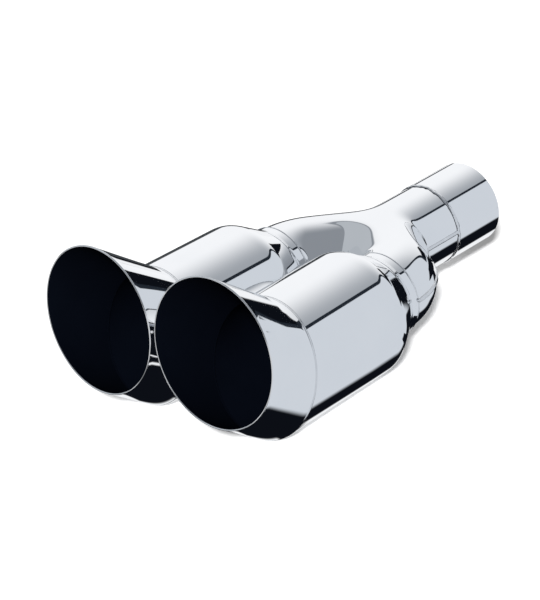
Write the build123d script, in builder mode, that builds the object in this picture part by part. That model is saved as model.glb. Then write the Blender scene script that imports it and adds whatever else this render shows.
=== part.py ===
from build123d import *
import os
from math import cos, radians, sin

# Twin exhaust tip, in millimetres: an inlet pipe, a Y-piece of two stamped half shells, and two tips, each a
# spun body with a flared outlet mitred on. Everything is welded, and the beads are pieces of their own.
#
# Frame: the origin is the centre of the inlet's open end. +Y points out of the inlet, towards the tailpipe,
# the outlets face -Y, +X is the right-hand tip as seen from behind the car, and +Z is up.

# Inlet pipe
pipe_bore = 57.6
pipe_wall = 1.2
pipe_length = 44.0

# Y-piece: the neck is butted to the inlet pipe, then parts into two branches that bend back to the tips
sheet_wall = 1.2
neck_step = 0.7
neck_length = 31.0
branch_turn = 50.0
split_inside_radius = 10.7
return_inside_radius = 1.3
crotch_radius = 11.3
web_sink = 0.15
tip_spacing = 97.4
tip_splay = 1.5

# Tip bodies: a short collar, a tight corner, a cone and a rounded shoulder
body_diameter = 90.0
body_length = 122.6
collar_step = 0.8
collar_length = 4.8
corner_radius = 4.0
cone_angle = 30.0
shoulder_radius = 18.0

# Outlets: turned up from the body's axis, with a rim that leans back less than the outlet does
outlet_diameter = 103.0
outlet_length = 52.7
outlet_turn = 35.0
rim_lean = 7.0
flare_share = 0.35
rim_round = 0.35

# Weld beads
weld_width = 1.6
weld_rise = 0.35
weld_round = 0.3
weld_gap = 0.05
seam_width = 3.0
seam_rise = 0.7

# Radii and heights that follow
pipe_radius = pipe_bore / 2 + pipe_wall
neck_radius = pipe_radius - neck_step
collar_radius = neck_radius + collar_step
body_radius = body_diameter / 2
rim_radius = outlet_diameter / 2
split_radius = neck_radius + split_inside_radius
return_radius = neck_radius + return_inside_radius
crotch_bend = neck_radius + crotch_radius
neck_end_y = -pipe_length - weld_width
split_y = -pipe_length - neck_length

# Length of the straight run between a branch's two bends
turn = radians(branch_turn)
splay = radians(tip_splay)
split_shift = split_radius * (1 - cos(turn))
return_shift = return_radius * (cos(splay) - cos(turn))
branch_run = (tip_spacing / 2 - split_shift - return_shift) / sin(turn)

# Centreline of the right branch, from the neck's end to the tip's collar
with BuildLine() as branch_path:
    neck_line = Line((0, neck_end_y), (0, split_y))
    split_arc = JernArc(neck_line @ 1, neck_line % 1, split_radius, branch_turn)
    run_line = Line(split_arc @ 1, split_arc @ 1 + (split_arc % 1) * branch_run)
    return_arc = JernArc(run_line @ 1, run_line % 1, return_radius, tip_splay - branch_turn)

# Centreline of the crotch, an arc that leaves one branch and runs into the other
crotch_start = run_line @ 0 + (run_line % 0) * ((crotch_bend * cos(turn) - split_shift) / sin(turn))
crotch_turn = 90 - branch_turn
with BuildLine() as crotch_path:
    crotch_arc = JernArc(crotch_start, (run_line % 0) * -1, crotch_bend, 2 * crotch_turn)

# Area between the two branches and the crotch, right half, as seen from above
with BuildSketch() as web:
    with BuildLine():
        Line((0, split_y), (0, (crotch_arc @ 0.5).Y))
        JernArc((0, split_y), (0, -1), split_radius, branch_turn)
        Line(split_arc @ 1, crotch_start)
        JernArc(crotch_start, (run_line % 0) * -1, crotch_bend, crotch_turn)
    make_face()


def right_half_of_y(radius):
    """Solid right half of the Y-piece, with tubes of this radius along its centrelines."""
    with BuildPart() as half:
        with BuildSketch(Plane(origin=neck_line @ 0, z_dir=neck_line % 0)):
            Circle(radius)
        sweep(path=branch_path.wire())
        with BuildSketch(Plane(origin=crotch_arc @ 0, z_dir=crotch_arc % 0)):
            Circle(radius - web_sink)
        sweep(path=crotch_path.wire())
        extrude(web.sketch, amount=radius - web_sink, both=True)
        split(bisect_by=Plane.YZ, keep=Keep.TOP)
    return half.part


# Inlet pipe
with BuildPart() as inlet_pipe:
    with BuildSketch(Plane.XZ):
        Circle(pipe_radius)
        Circle(pipe_bore / 2, mode=Mode.SUBTRACT)
    extrude(amount=pipe_length)


def round_bead(bead):
    """Round both outer edges of a ring-shaped bead that is being built."""
    outer_face = bead.faces().filter_by(GeomType.CYLINDER).sort_by(SortBy.AREA)[-1]
    fillet(outer_face.edges().filter_by(GeomType.CIRCLE), weld_round)


# Bead in the butt joint between inlet pipe and neck
with BuildPart() as inlet_weld:
    with BuildSketch(Plane.XZ.offset(pipe_length)):
        Circle(pipe_radius + weld_rise)
        Circle(pipe_bore / 2 + weld_gap, mode=Mode.SUBTRACT)
    extrude(amount=weld_width)
    round_bead(inlet_weld)

# Upper and lower half shells of the Y-piece
with BuildPart() as y_upper_shell:
    add(right_half_of_y(neck_radius))
    add(right_half_of_y(neck_radius - sheet_wall), mode=Mode.SUBTRACT)
    split(bisect_by=Plane.XY, keep=Keep.TOP)
    mirror(about=Plane.YZ)

with BuildPart() as y_lower_shell:
    mirror(y_upper_shell.part, about=Plane.XY)

# Bead on the seam between the half shells, along the right outer side from inlet bead to collar bead
with BuildLine() as seam_path:
    seam_neck = Line((neck_radius, neck_end_y), (neck_radius, split_y))
    seam_split = JernArc(seam_neck @ 1, seam_neck % 1, split_inside_radius, branch_turn)
    seam_run = Line(seam_split @ 1, seam_split @ 1 + (seam_split % 1) * branch_run)
    JernArc(seam_run @ 1, seam_run % 1, return_radius + neck_radius, tip_splay - branch_turn)

with BuildPart() as right_seam_weld:
    with BuildSketch(Plane(origin=seam_neck @ 0, x_dir=(1, 0, 0), z_dir=seam_neck % 0)):
        Ellipse(seam_rise, seam_width / 2)
    sweep(path=seam_path.wire())
    add(right_half_of_y(neck_radius + weld_gap), mode=Mode.SUBTRACT)

# Frames of the right tip: across its joint with the branch, along its side, at the mitre and at the rim
up = Vector(0, 0, 1)
joint = return_arc @ 1
forward = return_arc % 1
sideways = forward.cross(up)
joint_plane = Plane(origin=joint, x_dir=sideways, z_dir=forward)
side_plane = Plane(origin=joint, x_dir=forward, z_dir=sideways)


def leaning(angle):
    """Direction that points forwards and this many degrees up."""
    return forward * cos(radians(angle)) + up * sin(radians(angle))


mitre_angle = outlet_turn / 2
mitre_centre = joint + forward * (weld_width + body_length)
mitre_plane = Plane(origin=mitre_centre, x_dir=sideways, z_dir=leaning(mitre_angle))
middle_plane = Plane(
    origin=mitre_centre + leaning(outlet_turn) * (outlet_length / 2),
    x_dir=sideways,
    z_dir=leaning((mitre_angle + rim_lean) / 2),
)
rim_plane = Plane(
    origin=mitre_centre + leaning(outlet_turn) * outlet_length,
    x_dir=sideways,
    z_dir=leaning(rim_lean),
)

# Length of the cone between corner and shoulder, from the step in height
arcs_rise = (corner_radius + shoulder_radius) * (1 - cos(radians(cone_angle)))
cone_length = (body_radius - collar_radius - arcs_rise) / sin(radians(cone_angle))


def tip_blank(inset):
    """Turned blank of the tip body, its outline moved inwards by an inset, longer than the mitre cut."""
    with BuildPart() as blank:
        with BuildSketch(side_plane):
            with BuildLine():
                base = Line((weld_width, 0), (weld_width, collar_radius - inset))
                collar = Line(base @ 1, (weld_width + collar_length, collar_radius - inset))
                corner = JernArc(collar @ 1, (1, 0), corner_radius + inset, cone_angle)
                cone = Line(corner @ 1, corner @ 1 + (corner % 1) * cone_length)
                shoulder = JernArc(cone @ 1, cone % 1, shoulder_radius - inset, -cone_angle)
                side = Line(shoulder @ 1, (body_length + body_radius, body_radius - inset))
                Polyline(side @ 1, (body_length + body_radius, 0), base @ 0)
            make_face()
        revolve(axis=Axis(joint, forward))
    return blank.part


def outlet_blank(inset):
    """Solid flare of the outlet, its sections made smaller all round by an inset."""
    mitre_height = body_radius / cos(radians(mitre_angle))
    middle_width = body_radius + (rim_radius - body_radius) * flare_share
    middle_height = mitre_height + (rim_radius - mitre_height) * flare_share
    with BuildPart() as blank:
        with BuildSketch(mitre_plane.offset(weld_width / 2)):
            Ellipse(body_radius - inset, mitre_height - inset)
        with BuildSketch(middle_plane):
            Ellipse(middle_width - inset, middle_height - inset)
        with BuildSketch(rim_plane):
            Circle(rim_radius - inset)
        loft()
    return blank.part


# Bead between branch and collar
with BuildPart() as right_collar_weld:
    with BuildSketch(joint_plane):
        Circle(collar_radius + weld_rise)
        Circle(neck_radius - sheet_wall, mode=Mode.SUBTRACT)
    extrude(amount=weld_width)
    round_bead(right_collar_weld)

# Tip body: collar, cone, shoulder and cylinder, cut to the mitre
with BuildPart() as right_tip_body:
    add(tip_blank(0))
    add(tip_blank(sheet_wall), mode=Mode.SUBTRACT)
    split(bisect_by=mitre_plane.offset(-weld_width / 2), keep=Keep.BOTTOM)

# Bead on the mitre, a flat oval ring that fills the joint and stands a little proud of it
with BuildPart() as right_mitre_weld:
    with BuildSketch(mitre_plane):
        Ellipse(body_radius + weld_rise, body_radius / cos(radians(mitre_angle)) + weld_rise)
        Ellipse(
            body_radius - sheet_wall,
            body_radius / cos(radians(mitre_angle)) - sheet_wall,
            mode=Mode.SUBTRACT,
        )
    extrude(amount=weld_width / 2, both=True)

# Outlet: flare from the mitre to the slanted rim
with BuildPart() as right_outlet:
    add(outlet_blank(0))
    add(outlet_blank(sheet_wall), mode=Mode.SUBTRACT)
    rim_face = faces().sort_by(Axis(joint, rim_plane.z_dir))[-1]
    fillet(rim_face.edges(), rim_round)

# Every right-hand piece has a mirrored twin on the left
right_pieces = {
    "seam_weld": right_seam_weld,
    "collar_weld": right_collar_weld,
    "tip_body": right_tip_body,
    "mitre_weld": right_mitre_weld,
    "outlet": right_outlet,
}
pieces = {
    "inlet_pipe": inlet_pipe,
    "inlet_weld": inlet_weld,
    "y_upper_shell": y_upper_shell,
    "y_lower_shell": y_lower_shell,
}
for name, right_piece in right_pieces.items():
    with BuildPart() as left_piece:
        mirror(right_piece.part, about=Plane.YZ)
    pieces["left_" + name] = left_piece
    pieces["right_" + name] = right_piece

os.makedirs("parts", exist_ok=True)
for name, piece in pieces.items():
    piece.part.label = name
    export_step(piece.part, "parts/" + name + ".step")
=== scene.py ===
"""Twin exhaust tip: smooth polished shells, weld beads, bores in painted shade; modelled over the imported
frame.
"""
from __future__ import annotations

import logging
import math
from dataclasses import dataclass, field
from enum import Enum

import bpy
from mathutils import Matrix, Vector

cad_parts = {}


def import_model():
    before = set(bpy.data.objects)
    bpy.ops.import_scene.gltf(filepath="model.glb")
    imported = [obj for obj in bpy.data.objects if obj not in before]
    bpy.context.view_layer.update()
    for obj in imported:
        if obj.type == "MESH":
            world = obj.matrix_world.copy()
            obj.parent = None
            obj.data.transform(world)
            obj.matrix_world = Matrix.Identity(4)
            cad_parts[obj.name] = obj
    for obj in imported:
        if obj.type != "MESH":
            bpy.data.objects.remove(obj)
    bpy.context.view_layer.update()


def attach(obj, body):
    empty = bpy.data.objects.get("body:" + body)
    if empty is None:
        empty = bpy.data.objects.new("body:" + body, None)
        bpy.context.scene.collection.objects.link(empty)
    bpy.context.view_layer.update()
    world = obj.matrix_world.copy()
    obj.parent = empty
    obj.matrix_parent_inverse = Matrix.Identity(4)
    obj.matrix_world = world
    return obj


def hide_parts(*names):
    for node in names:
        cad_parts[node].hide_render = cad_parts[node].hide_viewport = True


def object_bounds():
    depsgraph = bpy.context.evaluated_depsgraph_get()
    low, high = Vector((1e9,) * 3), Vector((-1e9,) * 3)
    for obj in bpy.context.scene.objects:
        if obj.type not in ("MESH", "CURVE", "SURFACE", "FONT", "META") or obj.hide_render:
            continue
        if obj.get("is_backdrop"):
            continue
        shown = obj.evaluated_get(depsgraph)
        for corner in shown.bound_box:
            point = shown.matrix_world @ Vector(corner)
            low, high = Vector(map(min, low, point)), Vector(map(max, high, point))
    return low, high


LOG = logging.getLogger("exhaust_tip")
ORIGIN = Vector((0, 0, 0))
TUBE_AXIS = Vector((0, 1, 0))

Colour = tuple[float, float, float]
Span = tuple[float, float]
Piece = bpy.types.Object
Socket = bpy.types.NodeSocket


class Side(Enum):
    """The two tips, by the sign of the side that they lie on."""

    RIGHT = 1
    LEFT = -1

    @property
    def word(self) -> str:
        """Name of the side as the frame's nodes spell it."""
        return self.name.lower()


class Graph:
    """Short hand for building a node tree."""

    def __init__(self, tree: bpy.types.NodeTree) -> None:
        """Start from an empty tree.

        Args:
            tree: The node tree to fill.
        """
        self.tree = tree
        tree.nodes.clear()

    def node(self, kind: str, **settings: object) -> bpy.types.Node:
        """Add a node.

        Args:
            kind: Blender's name of the node.
            settings: Attributes to set on it.

        Returns:
            The new node.
        """
        node = self.tree.nodes.new(kind)
        for name, value in settings.items():
            setattr(node, name, value)
        return node

    def feed(self, socket: Socket, value: object) -> None:
        """Link a socket into an input, or set the input to a plain value.

        Args:
            socket: The input.
            value: Another node's socket, or a number or colour.
        """
        if isinstance(value, Socket):
            self.tree.links.new(value, socket)
        else:
            socket.default_value = value

    def place(self, coordinates: str) -> tuple[Socket, ...]:
        """Take texture coordinates apart.

        Args:
            coordinates: Name of the kind of coordinates.

        Returns:
            X, Y and Z.
        """
        parts = self.node("ShaderNodeSeparateXYZ")
        self.feed(parts.inputs[0], self.node("ShaderNodeTexCoord").outputs[coordinates])
        return tuple(parts.outputs)

    def math(self, operation: str, *values: object) -> Socket:
        """Add a maths node.

        Args:
            operation: Name of the operation.
            values: Sockets or numbers, in order.

        Returns:
            The result.
        """
        node = self.node("ShaderNodeMath", operation=operation)
        for socket, value in zip(node.inputs, values):
            self.feed(socket, value)
        return node.outputs[0]

    def product(self, first: Socket, *others: object) -> Socket:
        """Multiply several values.

        Args:
            first: The first socket.
            others: Sockets or numbers that it is multiplied by.

        Returns:
            The product.
        """
        for other in others:
            first = self.math("MULTIPLY", first, other)
        return first

    def rise(self, value: Socket, span: Span) -> Socket:
        """Soft step from 0 at the start of a span to 1 at its end.

        Args:
            value: The socket that is compared.
            span: Where the step begins, and where it has reached 1.

        Returns:
            The step.
        """
        node = self.node("ShaderNodeMapRange", interpolation_type="SMOOTHSTEP")
        self.feed(node.inputs["Value"], value)
        node.inputs["From Min"].default_value = span[0]
        node.inputs["From Max"].default_value = span[1]
        return node.outputs["Result"]

    def course(self, value: Socket, start: object, *changes: tuple[Span, float]) -> Socket:
        """A level that changes softly over spans of a value.

        Args:
            value: The socket that the spans belong to.
            start: Socket or number before any change.
            changes: Spans, each with what it adds.

        Returns:
            The level.
        """
        for span, amount in changes:
            start = self.math("MULTIPLY_ADD", self.rise(value, span), amount, start)
        return start

    def spread(self, value: Socket, low: float, high: float) -> Socket:
        """Stretch a value of 0 to 1 over another range.

        Args:
            value: The socket.
            low: Result at 0.
            high: Result at 1.

        Returns:
            The stretched value.
        """
        node = self.node("ShaderNodeMapRange")
        self.feed(node.inputs["Value"], value)
        node.inputs["To Min"].default_value = low
        node.inputs["To Max"].default_value = high
        return node.outputs["Result"]

    def blend(self, share: object, first: object, second: object) -> Socket:
        """Mix two colours.

        Args:
            share: How much of the second colour shows.
            first: Colour or socket at share 0.
            second: Colour or socket at share 1.

        Returns:
            The mixed colour.
        """
        node = self.node("ShaderNodeMix", data_type="RGBA")
        self.feed(node.inputs["Factor"], share)
        colour_inputs = [socket for socket in node.inputs if socket.type == "RGBA"]
        for socket, value in zip(colour_inputs, (first, second)):
            self.feed(socket, (*value, 1.0) if isinstance(value, tuple) else value)
        return next(socket for socket in node.outputs if socket.type == "RGBA")

    def layers(self, colour: object, *coats: tuple[Socket, object]) -> Socket:
        """Lay colours over one another.

        Args:
            colour: The lowest colour.
            coats: How much of each further colour shows, and that colour.

        Returns:
            The colour that is seen.
        """
        for share, coat in coats:
            colour = self.blend(share, colour, coat)
        return colour

    def noise(self, where: Socket, scale: float, detail: float) -> Socket:
        """Add a noise texture.

        Args:
            where: Its coordinates.
            scale: Waves per metre.
            detail: Number of finer octaves.

        Returns:
            Its value.
        """
        node = self.node("ShaderNodeTexNoise")
        self.feed(node.inputs["Vector"], where)
        node.inputs["Scale"].default_value = scale
        node.inputs["Detail"].default_value = detail
        return node.outputs["Fac"]

    def bump(self, height: Socket, depth: float, under: Socket | None = None) -> Socket:
        """Add a bump.

        Args:
            height: The pattern.
            depth: How far it rises.
            under: The coarser bump that it lies on, if there is one.

        Returns:
            The bumped normal.
        """
        node = self.node("ShaderNodeBump")
        node.inputs["Strength"].default_value = 1.0
        node.inputs["Distance"].default_value = depth
        self.feed(node.inputs["Height"], height)
        if under is not None:
            self.feed(node.inputs["Normal"], under)
        return node.outputs["Normal"]


@dataclass(frozen=True)
class Finish:
    """A metal, or the bores' near-black painted shade, with the small unevenness that the real surface has.

    The scales are in waves per metre, and the bump depths in metres.
    """

    name: str
    light: Colour
    dark: Colour
    metallic: float
    specular: float
    smoothest: float
    roughest: float
    cloud_scale: float
    grain_scale: float
    grain_depth: float
    wave_scale: float
    wave_depth: float
    cloud_detail: float = 3.0
    grain_detail: float = 2.0
    wave_detail: float = 1.0

    def material(self) -> bpy.types.Material:
        """Build the finish as a node material on object coordinates.

        Returns:
            The material.
        """
        material = bpy.data.materials.new(self.name)
        material.use_nodes = True
        graph = Graph(material.node_tree)
        where = graph.node("ShaderNodeTexCoord").outputs["Object"]
        clouds = graph.noise(where, self.cloud_scale, self.cloud_detail)
        waves = graph.bump(graph.noise(where, self.wave_scale, self.wave_detail), self.wave_depth)
        grain = graph.bump(graph.noise(where, self.grain_scale, self.grain_detail), self.grain_depth, waves)
        shader = graph.node("ShaderNodeBsdfPrincipled")
        shader.inputs["Metallic"].default_value = self.metallic
        shader.inputs["Specular IOR Level"].default_value = self.specular
        graph.feed(shader.inputs["Base Color"], graph.blend(clouds, self.light, self.dark))
        graph.feed(shader.inputs["Roughness"], graph.spread(clouds, self.smoothest, self.roughest))
        graph.feed(shader.inputs["Normal"], grain)
        graph.feed(graph.node("ShaderNodeOutputMaterial").inputs["Surface"], shader.outputs["BSDF"])
        return material


MIRROR_POLISH = Finish(
    name="mirror_polish",
    light=(0.95, 0.955, 0.96),
    dark=(0.9, 0.91, 0.925),
    metallic=1.0,
    specular=0.5,
    smoothest=0.02,
    roughest=0.055,
    cloud_scale=35.0,
    grain_scale=900.0,
    grain_depth=0.0000006,
    wave_scale=28.0,
    wave_depth=0.00004,
)
POLISHED_BEAD = Finish(
    name="polished_bead",
    light=(0.9, 0.905, 0.91),
    dark=(0.72, 0.73, 0.75),
    metallic=1.0,
    specular=0.5,
    smoothest=0.06,
    roughest=0.2,
    cloud_scale=160.0,
    grain_scale=1200.0,
    grain_depth=0.000006,
    wave_scale=420.0,
    wave_depth=0.00003,
)
# Painted shade: this near-black colour on the insides of the tubes stands in for the shade deep in the bores.
BORE_PAINTED_SHADE = Finish(
    name="dark_bore",
    light=(0.0017, 0.0025, 0.005),
    dark=(0.0012, 0.0018, 0.0036),
    metallic=0.0,
    specular=0.02,
    smoothest=0.55,
    roughest=0.8,
    cloud_scale=60.0,
    grain_scale=1500.0,
    grain_depth=0.00003,
    wave_scale=50.0,
    wave_depth=0.00005,
)


class Bench:
    """The moves of a modeller's hand, as Blender's operators."""

    CUT_REACH = 0.000001
    MERGE_REACH = 0.000002
    ROUND_PAST = math.radians(50)
    SHARP_PAST = math.radians(55)
    RIPPLE_LEVEL = 0.65

    @staticmethod
    def clear() -> None:
        """Leave edit mode and select nothing."""
        if bpy.context.object and bpy.context.object.mode != "OBJECT":
            bpy.ops.object.mode_set(mode="OBJECT")
        bpy.ops.object.select_all(action="DESELECT")

    @staticmethod
    def pick(piece: Piece) -> None:
        """Make one object the only one selected and the active one.

        Args:
            piece: The object.
        """
        Bench.clear()
        piece.select_set(True)
        bpy.context.view_layer.objects.active = piece

    @staticmethod
    def edit(piece: Piece) -> None:
        """Open one object in edit mode with everything selected.

        Args:
            piece: The object.
        """
        Bench.pick(piece)
        bpy.ops.object.mode_set(mode="EDIT")
        bpy.ops.mesh.select_mode(type="VERT")
        bpy.ops.mesh.select_all(action="SELECT")

    @staticmethod
    def close() -> None:
        """Leave edit mode."""
        bpy.ops.object.mode_set(mode="OBJECT")

    @staticmethod
    def resize(x: float, y: float, z: float) -> None:
        """Scale what is selected about the origin."""
        bpy.ops.transform.resize(value=(x, y, z), center_override=ORIGIN)

    @staticmethod
    def rotate(angle: float, axis: str) -> None:
        """Turn what is selected about the origin. With no window, the operator turns the other way."""
        bpy.ops.transform.rotate(value=angle, orient_axis=axis, center_override=ORIGIN)

    @staticmethod
    def modify(piece: Piece, kind: str, **settings: object) -> None:
        """Add a modifier and apply it.

        Args:
            piece: The object.
            kind: Blender's name of the modifier.
            settings: Attributes to set on it.
        """
        Bench.pick(piece)
        modifier = piece.modifiers.new(kind.lower(), kind)
        for name, value in settings.items():
            setattr(modifier, name, value)
        bpy.ops.object.modifier_apply(modifier=modifier.name)

    @staticmethod
    def start_point(name: str, where: Vector) -> Piece:
        """Begin a mesh that is one point, open in edit mode.

        Args:
            name: Name of the object.
            where: Place of the point.

        Returns:
            The new object.
        """
        Bench.clear()
        bpy.ops.mesh.primitive_plane_add(size=0.001)
        piece = bpy.context.object
        piece.name = name
        bpy.ops.object.mode_set(mode="EDIT")
        bpy.ops.mesh.select_all(action="SELECT")
        bpy.ops.mesh.merge(type="CENTER")
        bpy.ops.transform.translate(value=where)
        return piece

    @staticmethod
    def start_empty(name: str) -> Piece:
        """Begin a mesh that has no points yet, open in edit mode.

        Args:
            name: Name of the object.

        Returns:
            The new object.
        """
        piece = Bench.start_point(name, ORIGIN)
        bpy.ops.mesh.delete(type="VERT")
        return piece

    @staticmethod
    def spin_profile(name: str, profile: list[Vector], steps: int) -> Piece:
        """Draw an open profile and spin it round the Y axis.

        Args:
            name: Name of the object.
            profile: Points of the profile in order.
            steps: Number of facets round the axis.

        Returns:
            The skin, in object mode, with its faces outwards.
        """
        piece = Bench.start_point(name, profile[0])
        for last, here in zip(profile, profile[1:]):
            bpy.ops.mesh.extrude_vertices_move(TRANSFORM_OT_translate={"value": here - last})
        bpy.ops.mesh.select_all(action="SELECT")
        bpy.ops.mesh.spin(steps=steps, angle=math.tau, center=ORIGIN, axis=TUBE_AXIS)
        Bench.mend()
        return piece

    @staticmethod
    def add_oval(points: int, width: float, height: float, lean: float, turn: float, where: Vector) -> None:
        """Add an oval of points in edit mode, across a tube that points along -Y.

        Args:
            points: Number of points.
            width: Half its width.
            height: Half its height.
            lean: How far the tube points up.
            turn: How far it points towards +X.
            where: Centre of the oval.
        """
        bpy.ops.mesh.select_all(action="DESELECT")
        bpy.ops.mesh.primitive_circle_add(vertices=points, radius=1.0, fill_type="NOTHING", align="WORLD")
        Bench.resize(width, height, 1)
        Bench.rotate(lean - math.pi / 2, "X")
        Bench.rotate(-turn, "Z")
        bpy.ops.transform.translate(value=where)

    @staticmethod
    def bridge() -> None:
        """Bridge every selected loop or chain of points to the next one."""
        bpy.ops.mesh.select_mode(type="EDGE")
        bpy.ops.mesh.bridge_edge_loops()
        bpy.ops.mesh.select_mode(type="VERT")

    @staticmethod
    def cut(piece: Piece, where: Vector, normal: Vector) -> None:
        """Cut away what lies past a plane.

        Args:
            piece: The skin.
            where: A point on the plane.
            normal: Direction to the side that goes.
        """
        Bench.edit(piece)
        bpy.ops.mesh.bisect(plane_co=where, plane_no=normal, clear_outer=True, threshold=Bench.CUT_REACH)
        Bench.mend()

    @staticmethod
    def ripple(piece: Piece, size: float, strength: float) -> None:
        """Make a bead slightly uneven.

        Args:
            piece: The bead.
            size: Size of the ripples.
            strength: How far they rise and fall.
        """
        texture = bpy.data.textures.new(piece.name + "_ripple", "CLOUDS")
        texture.noise_scale = size
        Bench.modify(
            piece,
            "DISPLACE",
            texture=texture,
            strength=strength,
            mid_level=Bench.RIPPLE_LEVEL,
            texture_coords="LOCAL",
        )

    @staticmethod
    def sway(piece: Piece, size: float, strength: float) -> None:
        """Let a bead round the Y axis wander to and fro along it.

        Args:
            piece: The bead.
            size: Size of the waves.
            strength: How far it wanders in all.
        """
        texture = bpy.data.textures.new(piece.name + "_sway", "CLOUDS")
        texture.noise_scale = size
        Bench.modify(
            piece, "DISPLACE", texture=texture, strength=strength, direction="Y", texture_coords="LOCAL"
        )

    @staticmethod
    def mend() -> None:
        """Merge doubles, turn the faces outwards and leave edit mode."""
        bpy.ops.mesh.select_all(action="SELECT")
        bpy.ops.mesh.remove_doubles(threshold=Bench.MERGE_REACH)
        bpy.ops.mesh.normals_make_consistent(inside=False)
        Bench.close()

    @staticmethod
    def thicken(piece: Piece, wall: float) -> None:
        """Give a skin its wall, inwards, with the second material, the bore's painted shade, inside.

        Args:
            piece: The skin.
            wall: Thickness of the sheet.
        """
        Bench.modify(
            piece,
            "SOLIDIFY",
            thickness=wall,
            offset=-1.0,
            use_even_offset=True,
            use_rim=True,
            material_offset=1,
            material_offset_rim=0,
        )

    @staticmethod
    def face_out(piece: Piece, foot: Vector, axis: Vector) -> None:
        """Turn an open skin's faces away from its axis, should they look inwards.

        Args:
            piece: The skin, in object mode.
            foot: A point on the axis.
            axis: Direction of the axis.
        """
        outwards = 0.0
        for face in piece.data.polygons:
            spoke = face.center - foot
            spoke -= axis * spoke.dot(axis)
            outwards += face.area * face.normal.dot(spoke.normalized())
        if outwards < 0:
            Bench.edit(piece)
            bpy.ops.mesh.flip_normals()
            Bench.close()

    @staticmethod
    def soften(piece: Piece, width: float) -> None:
        """Round the sharp edges a little.

        Args:
            piece: The solid.
            width: Width of the rounding.
        """
        Bench.modify(
            piece,
            "BEVEL",
            width=width,
            segments=2,
            limit_method="ANGLE",
            angle_limit=Bench.ROUND_PAST,
            use_clamp_overlap=True,
        )

    @staticmethod
    def shade(piece: Piece) -> None:
        """Shade smoothly, with the large faces setting the normals.

        Args:
            piece: The finished piece.
        """
        Bench.pick(piece)
        bpy.ops.object.shade_smooth_by_angle(angle=Bench.SHARP_PAST)
        Bench.modify(piece, "WEIGHTED_NORMAL", mode="FACE_AREA", weight=50, keep_sharp=True)

    @staticmethod
    def place(piece: Piece, turn: float, where: Vector) -> None:
        """Turn a piece about the vertical, move it, and put the place in its mesh.

        Args:
            piece: The piece, modelled at the origin.
            turn: Angle about Z.
            where: Where its origin goes.
        """
        Bench.pick(piece)
        piece.rotation_euler = (0, 0, turn)
        piece.location = where
        bpy.ops.object.transform_apply(location=True, rotation=True, scale=True)

    @staticmethod
    def twin(piece: Piece, name: str, flip: tuple[float, float, float]) -> Piece:
        """Copy a piece with a mesh of its own and mirror the copy.

        Args:
            piece: The piece to copy.
            name: Name of the copy.
            flip: Scale that mirrors it.

        Returns:
            The mirrored copy, its faces outwards.
        """
        Bench.pick(piece)
        bpy.ops.object.duplicate(linked=False)
        copy = bpy.context.object
        copy.name = name
        Bench.edit(copy)
        Bench.resize(*flip)
        bpy.ops.mesh.flip_normals()
        Bench.close()
        return copy


@dataclass(frozen=True)
class RingBead:
    """A weld bead round a tube: a ring with a flattened section.

    The radius is the outer one, and the depth is half the thickness of the section.
    """

    name: str
    radius: float
    half_width: float
    facets: int
    depth: float = 0.0007
    section_facets: int = 16

    def lay(self, where: Vector, lean: float = 0.0, stretch: float = 1.0) -> Piece:
        """Model the ring across a tube that points along -Y.

        Args:
            where: Centre of the ring.
            lean: How far the tube points up.
            stretch: Height of the ring over its width.

        Returns:
            The ring, open in edit mode.
        """
        Bench.clear()
        bpy.ops.mesh.primitive_torus_add(
            major_radius=self.radius - self.depth,
            minor_radius=self.depth,
            major_segments=self.facets,
            minor_segments=self.section_facets,
        )
        ring = bpy.context.object
        ring.name = self.name
        Bench.edit(ring)
        Bench.resize(1, stretch, self.half_width / self.depth)
        Bench.rotate(lean - math.pi / 2, "X")
        bpy.ops.transform.translate(value=where)
        return ring


@dataclass
class Dresser:
    """Gives finished pieces their finishes, their node and their body."""

    polish: bpy.types.Material
    bead: bpy.types.Material
    # Painted shade: near-black colour for the insides of the tubes.
    bore: bpy.types.Material

    def coat(self, piece: Piece, outside: bpy.types.Material) -> None:
        """Give a piece its outer finish and, in the second slot, the bore's painted shade.

        Args:
            piece: The piece.
            outside: The outer finish.
        """
        piece.data.materials.clear()
        piece.data.materials.append(outside)
        piece.data.materials.append(self.bore)

    def sheet(self, piece: Piece) -> None:
        """Give a skin the finishes of the polished sheet."""
        self.coat(piece, self.polish)

    def weld(self, piece: Piece, centre: Vector, axis: Vector) -> None:
        """Give a bead its finish, with the bore's painted shade on the side that looks into the bore.

        Args:
            piece: The bead.
            centre: Centre of its ring.
            axis: Direction through the ring.
        """
        self.coat(piece, self.bead)
        # Painted shade: faces that look into the bore take the near-black bore colour.
        for face in piece.data.polygons:
            spoke = face.center - centre
            spoke -= axis * spoke.dot(axis)
            face.material_index = 1 if face.normal.dot(spoke) < 0 else 0

    @staticmethod
    def seat(piece: Piece, node: str, slot: str) -> None:
        """Let a piece stand for its node and ride with the part.

        Args:
            piece: The finished piece.
            node: The CAD node that it stands for.
            slot: The record's material slot; not used.
        """
        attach(piece, "root")
        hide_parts(node)
        LOG.info("%s stands for %s, %d faces", piece.name, node, len(piece.data.polygons))


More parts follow.
